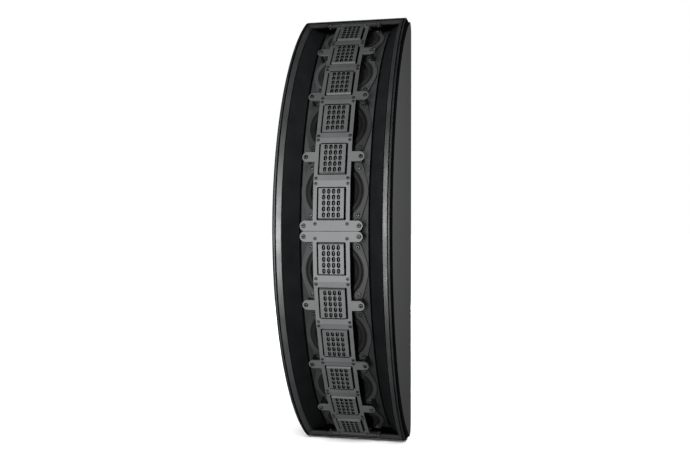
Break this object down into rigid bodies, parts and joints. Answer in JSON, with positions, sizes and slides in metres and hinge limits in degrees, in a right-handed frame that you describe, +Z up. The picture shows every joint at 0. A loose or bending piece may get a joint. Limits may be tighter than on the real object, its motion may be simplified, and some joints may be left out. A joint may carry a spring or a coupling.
{
  "type": "line array speaker",
  "caption": "Curved column loudspeaker: arc-shaped black cabinet, woofers behind two folded metal driver strips with slotted high-frequency exits.",
  "frame": {"origin": "centre of the flat rear face", "axes": "+Z up along the column, -Y out of the front, +X across the width, to the right seen from the front"},
  "size_m": [0.246, 0.36, 1],
  "materials": {
    "cabinet_paint": "satin black textured paint on plywood",
    "lip_plastic": "black moulded trim, satin",
    "well_plastic": "black moulded waveguide, matte",
    "baffle_paint": "satin black paint on plywood",
    "strip_metal": "satin grey powder coat on folded aluminium",
    "exit_plate": "pale grey satin anodised",
    "hf_housing": "black moulded",
    "frame_metal": "satin black die-cast",
    "cone_paper": "black treated paper",
    "surround_rubber": "black rubber",
    "spider_cloth": "tan treated cloth",
    "magnet": "dark ferrite and plated steel",
    "gasket_foam": "black foam",
    "screw_steel": "black zinc",
    "post_metal": "black anodised",
    "brace_ply": "raw birch plywood",
    "board": "green circuit board",
    "board_parts": "enamelled wire and film parts",
    "cup_plastic": "black moulded",
    "connector": "black moulded",
    "insert_steel": "zinc plated"
  },
  "bodies": {
    "root": {"bottom_panel": "cabinet_paint", "crossover_board": "board", "crossover_parts": "board_parts", "cup_screws": "screw_steel", "driver_strip_lower": "strip_metal", "driver_strip_upper": "strip_metal", "flared_wall_left": "well_plastic", "flared_wall_right": "well_plastic", "front_baffle": "baffle_paint", "hf_drivers": "hf_housing", "hf_exit_plate_1": "exit_plate", "hf_exit_plate_10": "exit_plate", "hf_exit_plate_11": "exit_plate", "hf_exit_plate_12": "exit_plate", "hf_exit_plate_2": "exit_plate", "hf_exit_plate_3": "exit_plate", "hf_exit_plate_4": "exit_plate", "hf_exit_plate_5": "exit_plate", "hf_exit_plate_6": "exit_plate", "hf_exit_plate_7": "exit_plate", "hf_exit_plate_8": "exit_plate", "hf_exit_plate_9": "exit_plate", "input_connectors": "connector", "input_cup": "cup_plastic", "internal_braces": "brace_ply", "lip_bottom": "lip_plastic", "lip_left": "lip_plastic", "lip_right": "lip_plastic", "lip_top": "lip_plastic", "module_screws": "screw_steel", "rear_panel": "cabinet_paint", "rigging_inserts": "insert_steel", "side_panel_left": "cabinet_paint", "side_panel_right": "cabinet_paint", "socket_screws": "screw_steel", "strip_posts": "post_metal", "top_panel": "cabinet_paint", "well_end_bottom": "well_plastic", "well_end_top": "well_plastic", "woofer_basket_1": "frame_metal", "woofer_basket_2": "frame_metal", "woofer_basket_3": "frame_metal", "woofer_basket_4": "frame_metal", "woofer_basket_5": "frame_metal", "woofer_basket_6": "frame_metal", "woofer_basket_7": "frame_metal", "woofer_basket_8": "frame_metal", "woofer_gaskets": "gasket_foam", "woofer_motors": "magnet", "woofer_screws": "screw_steel", "woofer_spiders": "spider_cloth", "woofer_surrounds": "surround_rubber"},
    "cone_1": {"woofer_cone_1": "cone_paper"},
    "cone_2": {"woofer_cone_2": "cone_paper"},
    "cone_3": {"woofer_cone_3": "cone_paper"},
    "cone_4": {"woofer_cone_4": "cone_paper"},
    "cone_5": {"woofer_cone_5": "cone_paper"},
    "cone_6": {"woofer_cone_6": "cone_paper"},
    "cone_7": {"woofer_cone_7": "cone_paper"},
    "cone_8": {"woofer_cone_8": "cone_paper"}
  },
  "joints": [
    {"name": "cone_slide_1", "type": "slide", "parent": "root", "child": "cone_1", "axis": [0, -0.5892, 0.808], "range_m": [-0.004, 0.004], "stiffness_N_per_m": 1000},
    {"name": "cone_slide_2", "type": "slide", "parent": "root", "child": "cone_2", "axis": [0, -0.7793, 0.6266], "range_m": [-0.004, 0.004], "stiffness_N_per_m": 1000},
    {"name": "cone_slide_3", "type": "slide", "parent": "root", "child": "cone_3", "axis": [0, -0.9157, 0.4019], "range_m": [-0.004, 0.004], "stiffness_N_per_m": 1000},
    {"name": "cone_slide_4", "type": "slide", "parent": "root", "child": "cone_4", "axis": [0, -0.9888, 0.1495], "range_m": [-0.004, 0.004], "stiffness_N_per_m": 1000},
    {"name": "cone_slide_5", "type": "slide", "parent": "root", "child": "cone_5", "axis": [0, -0.9888, -0.1495], "range_m": [-0.004, 0.004], "stiffness_N_per_m": 1000},
    {"name": "cone_slide_6", "type": "slide", "parent": "root", "child": "cone_6", "axis": [0, -0.9157, -0.4019], "range_m": [-0.004, 0.004], "stiffness_N_per_m": 1000},
    {"name": "cone_slide_7", "type": "slide", "parent": "root", "child": "cone_7", "axis": [0, -0.7793, -0.6266], "range_m": [-0.004, 0.004], "stiffness_N_per_m": 1000},
    {"name": "cone_slide_8", "type": "slide", "parent": "root", "child": "cone_8", "axis": [0, -0.5892, -0.808], "range_m": [-0.004, 0.004], "stiffness_N_per_m": 1000}
  ]
}
